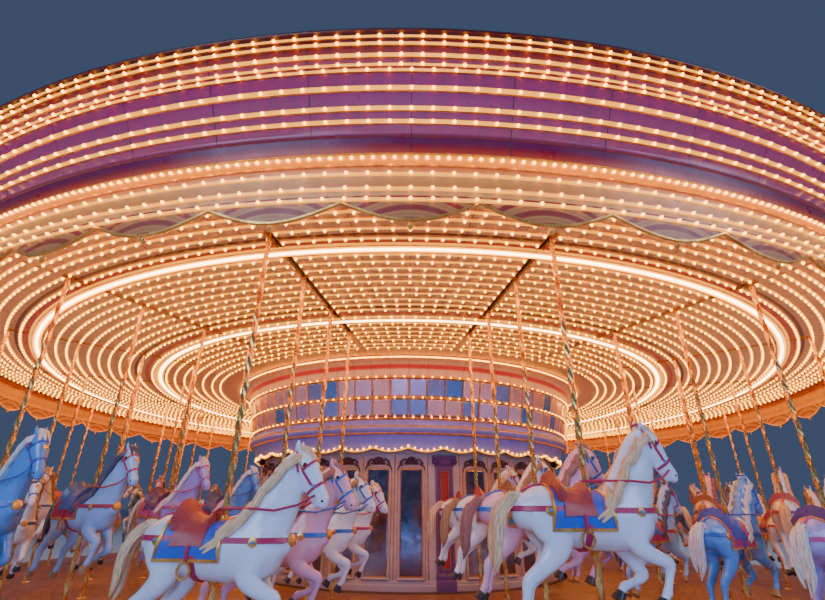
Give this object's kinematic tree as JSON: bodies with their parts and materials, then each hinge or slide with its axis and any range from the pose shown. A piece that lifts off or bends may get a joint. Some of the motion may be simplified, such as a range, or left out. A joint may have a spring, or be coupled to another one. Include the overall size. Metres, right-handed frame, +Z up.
{
  "type": "fairground carousel",
  "caption": "Large round carousel with ranks of rising horses, a lamp-lit ceiling and leaning crown, turning round a fixed wall of mirrors.",
  "frame": {"origin": "on the ground under the turning axis", "axes": "+Z up along the turning axis, -Y towards the viewer of the picture"},
  "size_m": [17.26, 17.26, 7.6003],
  "materials": {
    "crown_paint": "gloss mauve and purple boards with dark red bands, gilt mouldings and rows of warm lamps",
    "ceiling_paint": "satin tan and salmon ceiling boards with rings of warm lamps",
    "gilt": "polished warm gilt with close-set lamps",
    "cove_paint": "satin cream and salmon paint with a red line",
    "mirror_glass": "slightly aged mirror panels between narrow gilt bars",
    "wall_paint": "satin cream wall with moulded frames round tall mirrors",
    "horse_paint": "gloss painted horses on polished twisted brass poles",
    "deck_boards": "varnished hardwood boards, worn matt along the aisles",
    "canvas": "woven violet and cream striped canvas",
    "dark_steel": "matt dark painted steel"
  },
  "bodies": {
    "centre": {"base_platform": "dark_steel", "running_track": "dark_steel", "plinth": "deck_boards", "mast": "dark_steel", "wall_panel_1": "wall_paint", "wall_panel_2": "wall_paint", "wall_panel_3": "wall_paint", "wall_panel_4": "wall_paint"},
    "turntable": {"hub": "dark_steel", "ceiling_1": "ceiling_paint", "ceiling_2": "ceiling_paint", "ceiling_3": "ceiling_paint", "deck_1": "deck_boards", "deck_2": "deck_boards", "deck_3": "deck_boards", "deck_bearer": "dark_steel", "deck_skirt": "crown_paint", "lamp_hoop_outer": "gilt", "lamp_hoop_middle": "gilt", "crown_1": "crown_paint", "crown_2": "crown_paint", "crown_3": "crown_paint", "rim_valance_1": "crown_paint", "rim_valance_2": "crown_paint", "rim_valance_3": "crown_paint", "drum_cove": "cove_paint", "drum_mirror_band": "mirror_glass", "drum_cornice": "crown_paint", "drum_hem": "crown_paint", "roof_1": "canvas", "roof_2": "canvas", "roof_3": "canvas", "finial": "gilt"},
    "rank_01": {"horse_rank_01": "horse_paint"},
    "rank_02": {"horse_rank_02": "horse_paint"},
    "rank_03": {"horse_rank_03": "horse_paint"},
    "rank_04": {"horse_rank_04": "horse_paint"},
    "rank_05": {"horse_rank_05": "horse_paint"},
    "rank_06": {"horse_rank_06": "horse_paint"},
    "rank_07": {"horse_rank_07": "horse_paint"},
    "rank_08": {"horse_rank_08": "horse_paint"},
    "rank_09": {"horse_rank_09": "horse_paint"},
    "rank_10": {"horse_rank_10": "horse_paint"},
    "rank_11": {"horse_rank_11": "horse_paint"},
    "rank_12": {"horse_rank_12": "horse_paint"},
    "rank_13": {"horse_rank_13": "horse_paint"},
    "rank_14": {"horse_rank_14": "horse_paint"},
    "rank_15": {"horse_rank_15": "horse_paint"},
    "rank_16": {"horse_rank_16": "horse_paint"},
    "rank_17": {"horse_rank_17": "horse_paint"},
    "rank_18": {"horse_rank_18": "horse_paint"}
  },
  "joints": [
    {"name": "carousel_turn", "type": "hinge", "parent": "centre", "child": "turntable", "pos_m": [0, 0, 3.8], "axis": [0, 0, 1], "continuous": true},
    {"name": "rise_01", "type": "slide", "parent": "turntable", "child": "rank_01", "axis": [0, 0, 1], "range_m": [-0.2, 0]},
    {"name": "rise_02", "type": "slide", "parent": "turntable", "child": "rank_02", "axis": [0, 0, 1], "range_m": [0, 0.2]},
    {"name": "rise_03", "type": "slide", "parent": "turntable", "child": "rank_03", "axis": [0, 0, 1], "range_m": [-0.2, 0]},
    {"name": "rise_04", "type": "slide", "parent": "turntable", "child": "rank_04", "axis": [0, 0, 1], "range_m": [0, 0.2]},
    {"name": "rise_05", "type": "slide", "parent": "turntable", "child": "rank_05", "axis": [0, 0, 1], "range_m": [-0.2, 0]},
    {"name": "rise_06", "type": "slide", "parent": "turntable", "child": "rank_06", "axis": [0, 0, 1], "range_m": [0, 0.2]},
    {"name": "rise_07", "type": "slide", "parent": "turntable", "child": "rank_07", "axis": [0, 0, 1], "range_m": [-0.2, 0]},
    {"name": "rise_08", "type": "slide", "parent": "turntable", "child": "rank_08", "axis": [0, 0, 1], "range_m": [0, 0.2]},
    {"name": "rise_09", "type": "slide", "parent": "turntable", "child": "rank_09", "axis": [0, 0, 1], "range_m": [-0.2, 0]},
    {"name": "rise_10", "type": "slide", "parent": "turntable", "child": "rank_10", "axis": [0, 0, 1], "range_m": [0, 0.2]},
    {"name": "rise_11", "type": "slide", "parent": "turntable", "child": "rank_11", "axis": [0, 0, 1], "range_m": [-0.2, 0]},
    {"name": "rise_12", "type": "slide", "parent": "turntable", "child": "rank_12", "axis": [0, 0, 1], "range_m": [0, 0.2]},
    {"name": "rise_13", "type": "slide", "parent": "turntable", "child": "rank_13", "axis": [0, 0, 1], "range_m": [-0.2, 0]},
    {"name": "rise_14", "type": "slide", "parent": "turntable", "child": "rank_14", "axis": [0, 0, 1], "range_m": [0, 0.2]},
    {"name": "rise_15", "type": "slide", "parent": "turntable", "child": "rank_15", "axis": [0, 0, 1], "range_m": [-0.2, 0]},
    {"name": "rise_16", "type": "slide", "parent": "turntable", "child": "rank_16", "axis": [0, 0, 1], "range_m": [0, 0.2]},
    {"name": "rise_17", "type": "slide", "parent": "turntable", "child": "rank_17", "axis": [0, 0, 1], "range_m": [-0.2, 0]},
    {"name": "rise_18", "type": "slide", "parent": "turntable", "child": "rank_18", "axis": [0, 0, 1], "range_m": [0, 0.2]}
  ],
  "couplings": [
    {"joint": "rise_02", "follows": "rise_01", "ratio": -1},
    {"joint": "rise_03", "follows": "rise_01", "ratio": 1},
    {"joint": "rise_04", "follows": "rise_01", "ratio": -1},
    {"joint": "rise_05", "follows": "rise_01", "ratio": 1},
    {"joint": "rise_06", "follows": "rise_01", "ratio": -1},
    {"joint": "rise_07", "follows": "rise_01", "ratio": 1},
    {"joint": "rise_08", "follows": "rise_01", "ratio": -1},
    {"joint": "rise_09", "follows": "rise_01", "ratio": 1},
    {"joint": "rise_10", "follows": "rise_01", "ratio": -1},
    {"joint": "rise_11", "follows": "rise_01", "ratio": 1},
    {"joint": "rise_12", "follows": "rise_01", "ratio": -1},
    {"joint": "rise_13", "follows": "rise_01", "ratio": 1},
    {"joint": "rise_14", "follows": "rise_01", "ratio": -1},
    {"joint": "rise_15", "follows": "rise_01", "ratio": 1},
    {"joint": "rise_16", "follows": "rise_01", "ratio": -1},
    {"joint": "rise_17", "follows": "rise_01", "ratio": 1},
    {"joint": "rise_18", "follows": "rise_01", "ratio": -1}
  ]
}
